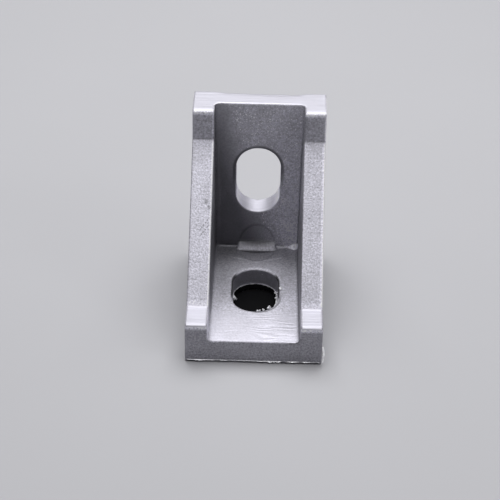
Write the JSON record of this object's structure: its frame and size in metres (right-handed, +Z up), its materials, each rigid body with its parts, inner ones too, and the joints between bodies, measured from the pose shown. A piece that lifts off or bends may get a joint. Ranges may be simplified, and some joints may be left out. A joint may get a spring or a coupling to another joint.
{
  "type": "profile angle bracket",
  "caption": "Die-cast right-angle bracket for slotted framing profile: two slotted plates tied by a sloping rib at each side, with short square rib tips.",
  "frame": {"origin": "middle of the base's footprint, on the face that lies on the profile", "axes": "+X across the bracket, +Y out of the back face, +Z up along the back leg; the open end of the base leg is at -Y"},
  "size_m": [0.0192, 0.028, 0.028],
  "materials": {
    "casting": "as cast, lightly blasted"
  },
  "bodies": {
    "root": {"bracket": "casting"}
  },
  "joints": []
}
